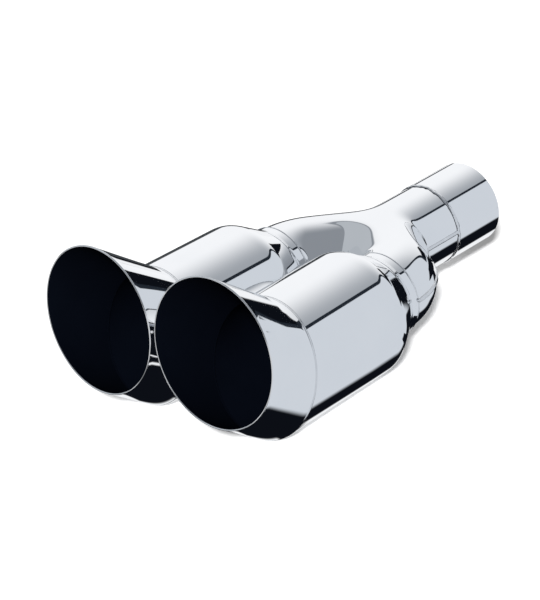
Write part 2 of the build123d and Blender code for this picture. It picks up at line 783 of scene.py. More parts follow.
@dataclass
class InletPipe:
    """The straight tube that slips over the tailpipe, and the bead that joins it to the neck."""

    bore_radius: float = 0.0288
    outer_radius: float = 0.0300
    length: float = 0.044
    edge_round: float = 0.0002
    bead_width: float = 0.0016
    bead_rise: float = 0.0003
    bead_lap: float = 0.0005
    ripple_size: float = 0.003
    ripple_rise: float = 0.0004
    sway_size: float = 0.0045
    sway_reach: float = 0.002
    facets: int = 160

    def build(self, dresser: Dresser) -> None:
        """Model the tube and its bead, and seat them."""
        self._tube(dresser)
        self._bead(dresser)

    def _tube(self, dresser: Dresser) -> None:
        """Spin the tube's closed section.

        Args:
            dresser: Gives the tube its finishes.
        """
        mouth = 0.0
        front = -self.length
        section = [
            Vector((0, mouth, self.bore_radius)),
            Vector((0, mouth, self.outer_radius)),
            Vector((0, front, self.outer_radius)),
            Vector((0, front, self.bore_radius)),
            Vector((0, mouth, self.bore_radius)),
        ]
        tube = Bench.spin_profile("inlet_tube", section, self.facets)
        dresser.sheet(tube)
        middle = (self.outer_radius + self.bore_radius) / 2
        # Painted shade: the tube's inner faces take the near-black bore colour.
        for face in tube.data.polygons:
            inside = math.hypot(face.center.x, face.center.z) < middle
            sideways = abs(face.normal.y) < 0.5
            face.material_index = 1 if inside and sideways else 0
        Bench.soften(tube, self.edge_round)
        Bench.shade(tube)
        dresser.seat(tube, "inlet_pipe", "polished_steel")

    def _bead(self, dresser: Dresser) -> None:
        """Model the uneven, wandering bead in the butt joint between tube and neck.

        Args:
            dresser: Gives the bead its finish.
        """
        middle = Vector((0, -self.length - self.bead_width / 2, 0))
        bead = RingBead(
            name="inlet_bead",
            radius=self.outer_radius + self.bead_rise,
            half_width=self.bead_width / 2 + self.bead_lap,
            facets=self.facets * 2,
        ).lay(middle)
        Bench.mend()
        Bench.ripple(bead, self.ripple_size, self.ripple_rise)
        Bench.sway(bead, self.sway_size, self.sway_reach)
        Bench.shade(bead)
        dresser.weld(bead, middle, TUBE_AXIS)
        dresser.seat(bead, "inlet_weld", "weld_bead")


@dataclass
class YPiece:
    """The two stamped half shells that part the flow: one smooth skin, split along its seam.

    The first bend is a little tighter than that of the solids, so the skin lies up to 0.7 mm inside them. It
    grows from a coarse cage, whose rings of points are bridged chain by chain.
    """

    tube_radius: float = 0.0293
    wall: float = 0.0012
    neck_end: float = -0.0456
    split_at: float = -0.07812
    split_radius: float = 0.0333
    return_radius: float = 0.0306
    crotch_bend: float = 0.0406
    branch_turn: float = math.radians(50)
    tip_splay: float = math.radians(1.5)
    tip_spacing: float = 0.0974
    edge_round: float = 0.0002
    ring_points: int = 24
    levels: int = 3
    mirror_reach: float = 0.00001
    seam_width: float = 0.003
    seam_rise: float = 0.0007
    seam_points: int = 24
    neck_steps: int = 12
    split_steps: int = 16
    return_steps: int = 24
    ripple_size: float = 0.004
    ripple_rise: float = 0.0002
    chains: list[str] = field(default_factory=list)

    @property
    def swollen(self) -> float:
        """Radius of the cage's rings, from which the smooth skin shrinks to the tube's radius.

        A point of the smooth skin weighs its own cage point four times and each neighbour once.
        """
        step = math.tau / self.ring_points
        return self.tube_radius * 6 / (4 + 2 * math.cos(step))

    @property
    def slack(self) -> float:
        """Distance within which a point counts as lying half-way across its ring."""
        return self.tube_radius * 0.01

    @staticmethod
    def heading(turn: float) -> Vector:
        """Direction of flow, this far outwards from straight on."""
        return Vector((math.sin(turn), -math.cos(turn), 0))

    @staticmethod
    def outward(turn: float) -> Vector:
        """Direction to the outer side of a tube with this heading."""
        return Vector((math.cos(turn), math.sin(turn), 0))

    def on_split(self, turn: float) -> Vector:
        """Centre of the branch after this much of its first bend."""
        across = self.split_radius * (1 - math.cos(turn))
        return Vector((across, self.split_at - self.split_radius * math.sin(turn), 0))

    def run_end(self) -> Vector:
        """Find where the second bend begins.

        Returns:
            Centre of the branch there.
        """
        shift = self.return_radius * (math.cos(self.tip_splay) - math.cos(self.branch_turn))
        start = self.on_split(self.branch_turn)
        run = (self.tip_spacing / 2 - shift - start.x) / math.sin(self.branch_turn)
        return start + self.heading(self.branch_turn) * run

    def on_return(self, turn: float) -> Vector:
        """Centre of the branch in its second bend, where it still points this far outwards."""
        centre = self.run_end() - self.outward(self.branch_turn) * self.return_radius
        return centre + self.outward(turn) * self.return_radius

    def returning(self, share: float) -> float:
        """How far outwards the branch still points after this share of its second bend."""
        return self.branch_turn + (self.tip_splay - self.branch_turn) * share

    def crotch_centre(self) -> Vector:
        """Find the centre of the crotch's bend.

        Returns:
            The centre, on the middle plane.
        """
        start = self.on_split(self.branch_turn)
        drop = (self.crotch_bend + start.x * -math.cos(self.branch_turn)) / math.sin(self.branch_turn)
        return Vector((0, start.y - drop, 0))

    def build(self, dresser: Dresser) -> None:
        """Model the beads on the seam and the skin, split the skin, and seat the pieces.

        Args:
            dresser: Gives the pieces their finishes.
        """
        self._seam_beads(dresser)
        upper = self._skin()
        Bench.cut(upper, ORIGIN, Vector((0, 0, -1)))
        dresser.sheet(upper)
        Bench.thicken(upper, self.wall)
        lower = Bench.twin(upper, "y_lower", (1, 1, -1))
        for shell, node in ((upper, "y_upper_shell"), (lower, "y_lower_shell")):
            Bench.soften(shell, self.edge_round)
            Bench.shade(shell)
            dresser.seat(shell, node, "polished_steel")

    def _seam_course(self) -> list[tuple[Vector, float]]:
        """Follow the right branch from the neck's end to the tip.

        Returns:
            Centres of the tube, each with how far the tube points outwards there.
        """
        course = []
        for step in range(self.neck_steps):
            along = self.neck_end + (self.split_at - self.neck_end) * step / self.neck_steps
            course.append((Vector((0, along, 0)), 0.0))
        for step in range(self.split_steps + 1):
            turn = self.branch_turn * step / self.split_steps
            course.append((self.on_split(turn), turn))
        for step in range(self.return_steps + 1):
            turn = self.returning(step / self.return_steps)
            course.append((self.on_return(turn), turn))
        return course

    def _seam_beads(self, dresser: Dresser) -> None:
        """Bridge ovals along the outer seam of the right side, and mirror the bead for the left.

        Args:
            dresser: Gives the beads their finish.
        """
        bead = Bench.start_empty("right_seam_bead")
        for centre, turn in self._seam_course():
            on_skin = centre + self.outward(turn) * self.tube_radius
            Bench.add_oval(self.seam_points, self.seam_rise, self.seam_width / 2, 0.0, turn, on_skin)
        bpy.ops.mesh.select_all(action="SELECT")
        Bench.bridge()
        bpy.ops.mesh.select_all(action="SELECT")
        bpy.ops.mesh.fill_holes(sides=0)
        Bench.mend()
        Bench.ripple(bead, self.ripple_size, self.ripple_rise)
        twin = Bench.twin(bead, "left_seam_bead", (-1, 1, 1))
        for side, made in ((Side.RIGHT, bead), (Side.LEFT, twin)):
            Bench.shade(made)
            made.data.materials.append(dresser.bead)
            dresser.seat(made, f"{side.word}_seam_weld", "weld_bead")

    def _skin(self) -> Piece:
        """Model the right half as a coarse cage, mirror it and smooth it.

        Returns:
            The whole outer skin.
        """
        cage = Bench.start_empty("y_upper")
        for along in (self.neck_end, (self.neck_end + self.split_at) / 2, self.split_at):
            self._half_ring(Vector((0, along, 0)), 0.0)
        for third in (1, 2):
            turn = self.branch_turn * third / 3
            self._half_ring(self.on_split(turn), turn)
        split_end = self.on_split(self.branch_turn)
        tangent = self.crotch_centre() + self.outward(self.branch_turn) * self.crotch_bend
        self._crotch_ring(split_end, 0.0)
        self._crotch_ring((split_end + tangent) / 2, (math.pi / 2 - self.branch_turn) / 2)
        for centre in (tangent, self.run_end()):
            self._ring(centre, self.branch_turn)
        for quarter in (1, 2, 3, 4):
            turn = self.returning(quarter / 4)
            self._ring(self.on_return(turn), turn)
        self._bridge()
        Bench.mend()
        Bench.modify(
            cage,
            "MIRROR",
            use_axis=(True, False, False),
            use_mirror_merge=True,
            merge_threshold=self.mirror_reach,
        )
        cage.vertex_groups.clear()
        Bench.modify(cage, "SUBSURF", levels=self.levels, render_levels=self.levels)
        return cage

    def _add_circle(self, centre: Vector, turn: float) -> None:
        """Add a ring of points across a tube, selected.

        Args:
            centre: Centre of the ring.
            turn: How far the tube points outwards.
        """
        bpy.ops.mesh.select_all(action="DESELECT")
        bpy.ops.mesh.primitive_circle_add(
            vertices=self.ring_points,
            radius=self.swollen,
            fill_type="NOTHING",
            align="WORLD",
            location=centre,
            rotation=(math.pi / 2, 0, turn),
        )

    @staticmethod
    def _select_side(centre: Vector, outward: Vector, low: float, high: float) -> None:
        """Keep selected only those selected points whose distance outwards lies between two limits.

        Args:
            centre: Centre of the ring.
            outward: Direction to measure along.
            low: Smallest distance to keep.
            high: Largest distance to keep.
        """
        cage = bpy.context.object
        cage.update_from_editmode()
        wanted = [
            point.select and low < (point.co - centre).dot(outward) < high for point in cage.data.vertices
        ]
        bpy.ops.object.mode_set(mode="OBJECT")
        for point, keep in zip(cage.data.vertices, wanted):
            point.select = keep
        for edge in cage.data.edges:
            edge.select = all(wanted[index] for index in edge.vertices)
        bpy.ops.object.mode_set(mode="EDIT")

    @staticmethod
    def _group(name: str) -> None:
        """Remember the selected points under a name."""
        bpy.ops.object.vertex_group_assign_new()
        bpy.context.object.vertex_groups.active.name = name

    def _ring(self, centre: Vector, turn: float) -> None:
        """Add a whole ring and remember it as the next chain.

        Args:
            centre: Centre of the ring.
            turn: How far the tube points outwards.
        """
        self._add_circle(centre, turn)
        self.chains.append(f"ring_{len(self.chains)}")
        self._group(self.chains[-1])

    def _half_ring(self, centre: Vector, turn: float) -> None:
        """Add the outer half of a ring, its ends drawn to the middle plane.

        Args:
            centre: Centre of the ring.
            turn: How far the tube points outwards.
        """
        outward = self.outward(turn)
        self._add_circle(centre, turn)
        self.chains.append(f"half_{len(self.chains)}")
        self._group(self.chains[-1])
        self._select_side(centre, outward, -math.inf, -self.slack)
        bpy.ops.mesh.delete(type="VERT")
        self._select_group(self.chains[-1])
        self._select_side(centre, outward, -self.slack, self.slack)
        Bench.resize(0, 1, 1)

    def _crotch_ring(self, outer_centre: Vector, crotch_turn: float) -> None:
        """Add a ring whose outer half lies on the branch and whose inner half lies on the crotch.

        Args:
            outer_centre: Centre of the outer half.
            crotch_turn: How far round the crotch's bend the inner half lies from the middle plane.
        """
        across = math.pi / 2 - crotch_turn
        inner_centre = self.crotch_centre() + self.outward(across) * self.crotch_bend
        name = f"crotch_{len(self.chains)}"
        self._add_circle(inner_centre, across)
        self._group(name)
        self._select_side(inner_centre, self.outward(across), self.slack, math.inf)
        bpy.ops.mesh.delete(type="VERT")
        self._add_circle(outer_centre, self.branch_turn)
        self._group(name + "_outer")
        self._select_side(outer_centre, self.outward(self.branch_turn), -math.inf, self.slack)
        bpy.ops.mesh.delete(type="VERT")
        for sign in (1, -1):
            self._join_ends(name, sign)
        self.chains.append(name)

    @staticmethod
    def _join_ends(name: str, sign: int) -> None:
        """Join the two halves of a crotch ring by an edge, above or below.

        Args:
            name: Name of the ring's chain.
            sign: 1 for the upper end, -1 for the lower.
        """
        cage = bpy.context.object
        bpy.ops.mesh.select_all(action="DESELECT")
        bpy.ops.object.mode_set(mode="OBJECT")
        ends = []
        for group_name in (name, name + "_outer"):
            group = cage.vertex_groups[group_name].index
            members = [p for p in cage.data.vertices if any(g.group == group for g in p.groups)]
            ends.append(max(members, key=lambda point: sign * point.co.z).index)
        for point in cage.data.vertices:
            point.select = point.index in ends
        bpy.ops.object.mode_set(mode="EDIT")
        bpy.ops.mesh.edge_face_add()
        cage.vertex_groups.active_index = cage.vertex_groups[name + "_outer"].index
        bpy.ops.object.vertex_group_assign()

    @staticmethod
    def _select_group(*names: str) -> None:
        """Select the points of some chains and nothing else.

        Args:
            names: Names of the chains.
        """
        bpy.ops.mesh.select_all(action="DESELECT")
        groups = bpy.context.object.vertex_groups
        for name in names:
            groups.active_index = groups[name].index
            bpy.ops.object.vertex_group_select()

    def _bridge(self) -> None:
        """Bridge each chain to the next one, with the outer part of a crotch ring alone after a half ring."""
        for last, here in zip(self.chains, self.chains[1:]):
            last_names = [last]
            here_names = [here]
            if last.startswith("half") and here.startswith("crotch"):
                here_names = [here + "_outer"]
            else:
                last_names += [last + "_outer"] if last.startswith("crotch") else []
                here_names += [here + "_outer"] if here.startswith("crotch") else []
            self._select_group(*last_names, *here_names)
            Bench.bridge()


@dataclass(frozen=True)
class Nub:
    """A drop of weld on a collar's bead, at an angle round the collar from its outer side upwards."""

    angle: float
    radius: float
    segments: int = 20
    rings: int = 12


@dataclass
class Tip:
    """One tip: a spun body, the mitred outlet and the beads at both ends of the body.

    It is modelled along -Y from the joint with its branch, and then put in place. The rim's radius is 0.15 mm
    under that of the solids, so that the finished piece stays inside their box, and the bead on the mitre
    stands 0.15 mm lower. The bends of the body ease in and out. Each is longer than a plain arc of the same
    smallest radius, by the bend's ease.
    """

    collar_radius: float = 0.0301
    body_radius: float = 0.045
    body_length: float = 0.1226
    collar_length: float = 0.0048
    corner_radius: float = 0.004
    cone_angle: float = math.radians(30)
    shoulder_radius: float = 0.018
    bend_ease: float = 1.5
    bend_steps: int = 28
    wall: float = 0.0012
    rim_radius: float = 0.05135
    rim_round: float = 0.00035
    outlet_length: float = 0.0527
    outlet_turn: float = math.radians(35)
    rim_lean: float = math.radians(7)
    flare_share: float = 0.35
    bead_width: float = 0.0016
    mitre_rise: float = 0.0002
    mitre_lap: float = 0.0004
    collar_rise: float = 0.00035
    collar_lap: float = 0.00005
    ripple_size: float = 0.003
    ripple_rise: float = 0.00025
    nubs: tuple[Nub, ...] = (Nub(math.radians(3), 0.0016), Nub(math.radians(45), 0.0009))
    facets: int = 160
    stations: int = 12

    @property
    def mitre_angle(self) -> float:
        """Lean of the mitre, half of the outlet's turn."""
        return self.outlet_turn / 2

    @property
    def mitre_centre(self) -> Vector:
        """Where the body's axis meets the outlet's."""
        return Vector((0, -self.bead_width - self.body_length, 0))

    @staticmethod
    def leaning(angle: float) -> Vector:
        """Direction that points forwards and this far up."""
        return Vector((0, -math.cos(angle), math.sin(angle)))

    def build(self, dresser: Dresser, joint: Vector, splay: float) -> None:
        """Model the right tip, mirror it for the left, and seat every piece.

        Args:
            dresser: Gives the pieces their finishes.
            joint: Centre of the joint with the right branch.
            splay: How far the tip points outwards.
        """
        pieces = {
            "tip_body": self._body(dresser),
            "outlet": self._outlet(dresser),
            "mitre_weld": self._mitre_bead(dresser),
            "collar_weld": self._collar_bead(dresser),
        }
        for part, piece in pieces.items():
            Bench.place(piece, splay, joint)
            slot = "weld_bead" if part.endswith("weld") else "polished_steel"
            twin = Bench.twin(piece, f"{Side.LEFT.word}_{piece.name}", (-1, 1, 1))
            piece.name = f"{Side.RIGHT.word}_{piece.name}"
            for side, made in ((Side.RIGHT, piece), (Side.LEFT, twin)):
                Bench.shade(made)
                dresser.seat(made, f"{side.word}_{part}", slot)

    def _profile(self) -> list[Vector]:
        """Outline of the body: collar, corner, cone, shoulder and side, past the mitre.

        Returns:
            Points in the YZ plane, from the collar's end forwards.
        """
        half = math.tan(self.cone_angle / 2)
        foot = self.bead_width + self.collar_length + self.corner_radius * half
        top = foot + (self.body_radius - self.collar_radius) / math.tan(self.cone_angle)
        cone_foot = Vector((0, -foot, self.collar_radius))
        cone_top = Vector((0, -top, self.body_radius))
        points = [Vector((0, -self.bead_width, self.collar_radius))]
        points += self._bend(cone_foot, 0.0, self.cone_angle, self.corner_radius)
        points += self._bend(cone_top, self.cone_angle, 0.0, self.shoulder_radius)
        points.append(Vector((0, -top - self.shoulder_radius, self.body_radius)))
        points.append(Vector((0, -self.body_length - self.body_radius, self.body_radius)))
        return points

    def _bend(self, corner: Vector, first: float, last: float, radius: float) -> list[Vector]:
        """Points of a bend that eases in and out, round the corner where its straight runs would meet.

        Args:
            corner: The corner in the YZ plane.
            first: Lean of the run before it.
            last: Lean of the run after it.
            radius: Smallest radius of the bend, half-way round.

        Returns:
            The points, from the first run to the last.
        """
        length = self.bend_ease * radius * abs(last - first)
        moves = []
        for step in range(self.bend_steps):
            share = (step + 0.5) / self.bend_steps
            lean = first + (last - first) * share * share * (3 - 2 * share)
            moves.append(self.leaning(lean) * (length / self.bend_steps))
        reach = sum(moves, ORIGIN).length / 2 / math.cos((last - first) / 2)
        points = [corner - self.leaning(first) * reach]
        for move in moves:
            points.append(points[-1] + move)
        return points

    def _body(self, dresser: Dresser) -> Piece:
        """Spin the body and cut it to the mitre.

        Args:
            dresser: Gives the body its finishes.

        Returns:
            The body, at the origin.
        """
        body = Bench.spin_profile("tip_body", self._profile(), self.facets)
        normal = self.leaning(self.mitre_angle)
        Bench.cut(body, self.mitre_centre - normal * (self.bead_width / 2), normal)
        Bench.face_out(body, self.mitre_centre, TUBE_AXIS)
        dresser.sheet(body)
        Bench.thicken(body, self.wall)
        return body

    def _outlet(self, dresser: Dresser) -> Piece:
        """Bridge the outlet's sections from the mitre to the rim, and give it a wall and a rounded rim.

        Args:
            dresser: Gives the outlet its finishes.

        Returns:
            The outlet, at the origin.
        """
        outlet = Bench.start_empty("outlet")
        for station in range(self.stations + 1):
            self._section(station / self.stations)
        bpy.ops.mesh.select_all(action="SELECT")
        Bench.bridge()
        Bench.mend()
        Bench.face_out(outlet, self.mitre_centre, self.leaning(self.outlet_turn))
        dresser.sheet(outlet)
        Bench.thicken(outlet, self.wall)
        Bench.soften(outlet, self.rim_round)
        return outlet

    def _section(self, along: float) -> None:
        """Add one section of the outlet, an oval at the mitre and round at the rim.

        Args:
            along: 0 at the mitre, 1 at the rim.
        """
        forward = self.leaning(self.outlet_turn)
        mitre = self.mitre_centre + self.leaning(self.mitre_angle) * (self.bead_width / 2)
        middle = self.mitre_centre + forward * (self.outlet_length / 2)
        rim = self.mitre_centre + forward * self.outlet_length
        width = self._flare(along, self.body_radius)
        height = self._flare(along, self.body_radius / math.cos(self.mitre_angle))
        lean = self.mitre_angle + (self.rim_lean - self.mitre_angle) * along
        Bench.add_oval(self.facets, width, height, lean, 0.0, self.through(along, mitre, middle, rim))

    def _flare(self, along: float, start: float) -> float:
        """Half a section's width or height, which grows from its start to the rim's radius."""
        middle = start + (self.rim_radius - start) * self.flare_share
        return self.through(along, start, middle, self.rim_radius)

    @staticmethod
    def through(along: float, first: object, middle: object, last: object) -> object:
        """Smooth course through three values.

        Args:
            along: 0 at the start, 1 at the end.
            first: Value at the start.
            middle: Value half-way.
            last: Value at the end.

        Returns:
            The value there.
        """
        return (
            first * ((1 - along) * (1 - 2 * along))
            + middle * (4 * along * (1 - along))
            + last * (along * (2 * along - 1))
        )

    def _mitre_bead(self, dresser: Dresser) -> Piece:
        """Model the polished bead that fills the mitre as a flat oval ring.

        Args:
            dresser: Gives the bead its finish.

        Returns:
            The bead, at the origin.
        """
        bead = RingBead(
            name="mitre_bead",
            radius=self.body_radius + self.mitre_rise,
            half_width=self.bead_width / 2 + self.mitre_lap,
            facets=self.facets,
        ).lay(self.mitre_centre, self.mitre_angle, 1 / math.cos(self.mitre_angle))
        Bench.mend()
        dresser.weld(bead, self.mitre_centre, self.leaning(self.mitre_angle))
        return bead

    def _collar_bead(self, dresser: Dresser) -> Piece:
        """Model the bead between branch and collar as a slightly uneven ring with its nubs.

        Args:
            dresser: Gives the bead its finish.

        Returns:
            The bead, at the origin.
        """
        middle = Vector((0, -self.bead_width / 2, 0))
        bead = RingBead(
            name="collar_bead",
            radius=self.collar_radius + self.collar_rise,
            half_width=self.bead_width / 2 + self.collar_lap,
            facets=self.facets,
        ).lay(middle)
        for nub in self.nubs:
            spoke = Vector((math.cos(nub.angle), 0, math.sin(nub.angle)))
            bpy.ops.mesh.primitive_uv_sphere_add(
                segments=nub.segments,
                ring_count=nub.rings,
                radius=nub.radius,
                location=middle + spoke * self.collar_radius,
            )
        Bench.mend()
        Bench.ripple(bead, self.ripple_size, self.ripple_rise)
        dresser.weld(bead, ORIGIN, TUBE_AXIS)
        return bead


def around(where: float, soft: float) -> Span:
    """Span of a step that rises past a value or, with a negative softness, falls past it."""
    return where - soft, where + soft


@dataclass(frozen=True)
class Tones:
    """Colours of the surroundings, as the metal mirrors them."""

    pale: Colour = (0.64, 0.68, 0.735)
    night: Colour = (0.004, 0.005, 0.008)
    ink: Colour = (0.016, 0.021, 0.03)
    dusk: Colour = (0.06, 0.066, 0.072)
    snow: Colour = (0.93, 0.94, 0.96)
    front_grey: Colour = (0.62, 0.63, 0.65)
    ceiling_bright: Colour = (0.97, 0.98, 1.0)
    ceiling_dim: Colour = (0.36, 0.385, 0.42)
    ceiling_front: Colour = (0.26, 0.28, 0.31)
    panel_grey: Colour = (0.47, 0.5, 0.535)


@dataclass(frozen=True)
class Glint:
    """A painted highlight: a bright patch of mirrored floor below an outlet, drawing a light line along its
    lower outline.

    It lies between left and right, and is cut off in front by a slanted line through the foot. Left of the
    hook it reaches further to the front.
    """

    left: float
    hook: float
    foot: float
    right: float
    back: float = -0.256
    front: float = -0.29
    reach: float = -0.31
    slant: float = 0.27
    soft: float = 0.0015

    def share(self, graph: Graph, x: Socket, y: Socket) -> Socket:
        """How much of the patch there is at a place on the floor.

        Args:
            graph: The floor's node tree.
            x: Place across.
            y: Place along.

        Returns:
            1 on the patch and 0 off it.
        """
        level = graph.math("MULTIPLY_ADD", x, -self.slant, graph.math("ADD", y, self.slant * self.foot))
        behind_line = graph.rise(level, around(self.front, self.soft))
        left_of_hook = graph.rise(x, around(self.hook, -self.soft))
        return graph.product(
            graph.math("MAXIMUM", behind_line, left_of_hook),
            graph.rise(x, around(self.left, self.soft)),
            graph.rise(x, around(self.right, -self.soft)),
            graph.rise(y, around(self.back, -self.soft)),
            graph.rise(y, around(self.reach, self.soft)),
        )


@dataclass
class Floor:
    """The white floor with the object's shadow, and the other floor that the metal mirrors.

    The mirrored floor is black below the object, a painted shadow, and pale on the right. The edge between
    them
    shifts along the object: beside the neck, the lobe where the branch swings out, the cone and the tip. A
    band of painted shadow follows left of the edge, then a white line of painted light, then black again.
    Grey, pale and white areas lie further out.
    A span along the object or across it tells where such a change begins and where it is complete.
    """

    tones: Tones = Tones()
    reach: float = 3.0
    white: Colour = (0.95, 0.95, 0.95)
    glow: float = 0.28
    neck_span: Span = (-0.078, -0.046)
    lobe_span: Span = (-0.14, -0.115)
    tip_span: Span = (-0.08, -0.14)
    inlet_span: Span = (0.075, 0.1)
    cone_front: Span = (-0.145, -0.139)
    cone_back: Span = (-0.112, -0.117)
    neck_edge: float = 0.054
    lobe_edge: float = 0.072
    tip_edge: float = 0.093
    cone_edge: float = 0.112
    back_edge: float = 0.12
    widening: float = 0.09
    widening_start: float = -0.19
    edge_fade: Span = (-0.004, 0.004)
    neck_band: float = 0.0345
    lobe_band: float = 0.04
    tip_band: float = 0.021
    neck_line: float = 0.05
    tip_line: float = 0.016
    line_widens: Span = (-0.06, -0.04)
    line_front: Span = (-0.27, -0.255)
    line_back: Span = (0.05, 0.04)
    line_right: Span = (0.002, -0.002)
    line_left: Span = (-0.003, 0.003)
    dusk_slant: float = 0.95
    dusk_aside: Span = (-0.22, -0.27)
    dusk_left: Span = (-0.14, -0.18)
    beyond_back: Span = (0.75, 0.85)
    beyond_right: Span = (-0.36, -0.3)
    wedge_tip: float = -0.29
    wedge_nearest: float = 0.02
    wedge_left: Span = (-0.76, -0.72)
    wedge_right: Span = (-0.43, -0.47)
    wedge_back: Span = (0.11, 0.18)
    front_span: Span = (-0.4, -0.46)
    glints: tuple[Glint, ...] = (
        Glint(left=0.036, hook=0.0455, foot=0.051, right=0.068),
        Glint(left=-0.11, hook=-0.0555, foot=-0.05, right=-0.026),
        Glint(left=0.0125, hook=0.0165, foot=0.1, right=0.0165),
    )

    def build(self, height: float) -> None:
        """Lay the floor.

        Args:
            height: Height of the object's lowest point.
        """
        Bench.clear()
        bpy.ops.mesh.primitive_plane_add(size=2 * self.reach)
        floor = bpy.context.object
        floor.name = "floor"
        Bench.edit(floor)
        bpy.ops.transform.translate(value=(0, 0, height))
        Bench.close()
        floor.data.materials.append(self._material())
        floor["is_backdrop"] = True

    def _material(self) -> bpy.types.Material:
        """Build the floor's material, with one side for the camera and one for the metal.

        Returns:
            The material.
        """
        material = bpy.data.materials.new("white_floor")
        material.use_nodes = True
        graph = Graph(material.node_tree)
        rays = graph.node("ShaderNodeLightPath").outputs
        matt = graph.node("ShaderNodeBsdfDiffuse")
        matt.inputs["Color"].default_value = (*self.white, 1.0)
        glow = graph.node("ShaderNodeEmission")
        graph.feed(glow.inputs["Strength"], graph.product(rays["Is Camera Ray"], self.glow))
        seen = graph.node("ShaderNodeAddShader")
        graph.feed(seen.inputs[0], matt.outputs[0])
        graph.feed(seen.inputs[1], glow.outputs[0])
        x, y, _ = graph.place("Object")
        mirrored = graph.node("ShaderNodeEmission")
        graph.feed(mirrored.inputs["Color"], self._mirrored(graph, x, y))
        choice = graph.node("ShaderNodeMixShader")
        graph.feed(choice.inputs[0], rays["Is Glossy Ray"])
        graph.feed(choice.inputs[1], seen.outputs[0])
        graph.feed(choice.inputs[2], mirrored.outputs[0])
        graph.feed(graph.node("ShaderNodeOutputMaterial").inputs["Surface"], choice.outputs[0])
        return material

    def _mirrored(self, graph: Graph, x: Socket, y: Socket) -> Socket:
        """Colour of the floor as the metal mirrors it.

        Args:
            graph: The floor's node tree.
            x: Place across.
            y: Place along.

        Returns:
            The colour.
        """
        tones = self.tones
        below_cone = graph.product(graph.rise(y, self.cone_front), graph.rise(y, self.cone_back))
        over = graph.math("SUBTRACT", x, self._edge(graph, y, below_cone))
        aside = graph.math("MULTIPLY_ADD", y, self.dusk_slant, x)
        far_left = graph.product(graph.rise(aside, self.dusk_aside), graph.rise(x, self.dusk_left))
        beyond = graph.product(graph.rise(y, self.beyond_back), graph.rise(x, self.beyond_right))
        # Painted shadow: night below the object. Painted light: the white line, the wedge and the glints.
        return graph.layers(
            tones.night,
            (graph.rise(over, self.edge_fade), tones.pale),
            (self._line(graph, y, over, below_cone), tones.snow),
            (far_left, tones.dusk),
            (beyond, tones.pale),
            (self._wedge(graph, x, y), tones.snow),
            *((glint.share(graph, x, y), tones.snow) for glint in self.glints),
            (graph.rise(y, self.front_span), tones.front_grey),
        )

    def _edge(self, graph: Graph, y: Socket, below_cone: Socket) -> Socket:
        """Where black ends and pale begins.

        Args:
            graph: The floor's node tree.
            y: Place along.
            below_cone: 1 below the tip's cone.

        Returns:
            Place of the edge across.
        """
        ahead = graph.math("MAXIMUM", graph.math("SUBTRACT", self.widening_start, y), 0.0)
        edge = graph.course(
            y,
            graph.math("MULTIPLY_ADD", ahead, self.widening, self.lobe_edge),
            (self.tip_span, self.tip_edge - self.lobe_edge),
            (self.neck_span, self.neck_edge - self.lobe_edge),
            (self.inlet_span, self.back_edge - self.neck_edge),
        )
        return graph.math("MAXIMUM", edge, graph.product(below_cone, self.cone_edge))

    def _line(self, graph: Graph, y: Socket, over: Socket, below_cone: Socket) -> Socket:
        """How much of the white line there is, left of the black band.

        Args:
            graph: The floor's node tree.
            y: Place along.
            over: How far a place lies right of the edge.
            below_cone: 1 below the tip's cone, where the line is broken.

        Returns:
            1 on the line and 0 off it.
        """
        band = graph.course(
            y,
            self.tip_band,
            (self.lobe_span, self.lobe_band - self.tip_band),
            (self.neck_span, self.neck_band - self.lobe_band),
        )
        past = graph.math("ADD", over, band)
        width = graph.course(y, self.tip_line, (self.line_widens, self.neck_line - self.tip_line))
        return graph.product(
            graph.rise(y, self.line_front),
            graph.rise(y, self.line_back),
            graph.math("SUBTRACT", 1.0, below_cone),
            graph.rise(past, self.line_right),
            graph.rise(graph.math("ADD", past, width), self.line_left),
        )

    def _wedge(self, graph: Graph, x: Socket, y: Socket) -> Socket:
        """How much there is of a white wedge behind the object, whose sides spread from one point.

        Args:
            graph: The floor's node tree.
            x: Place across.
            y: Place along.

        Returns:
            1 on the wedge and 0 off it.
        """
        along = graph.math("MAXIMUM", graph.math("SUBTRACT", y, self.wedge_tip), self.wedge_nearest)
        slant = graph.math("DIVIDE", x, along)
        return graph.product(
            graph.rise(slant, self.wedge_left),
            graph.rise(slant, self.wedge_right),
            graph.rise(y, self.wedge_back),
        )


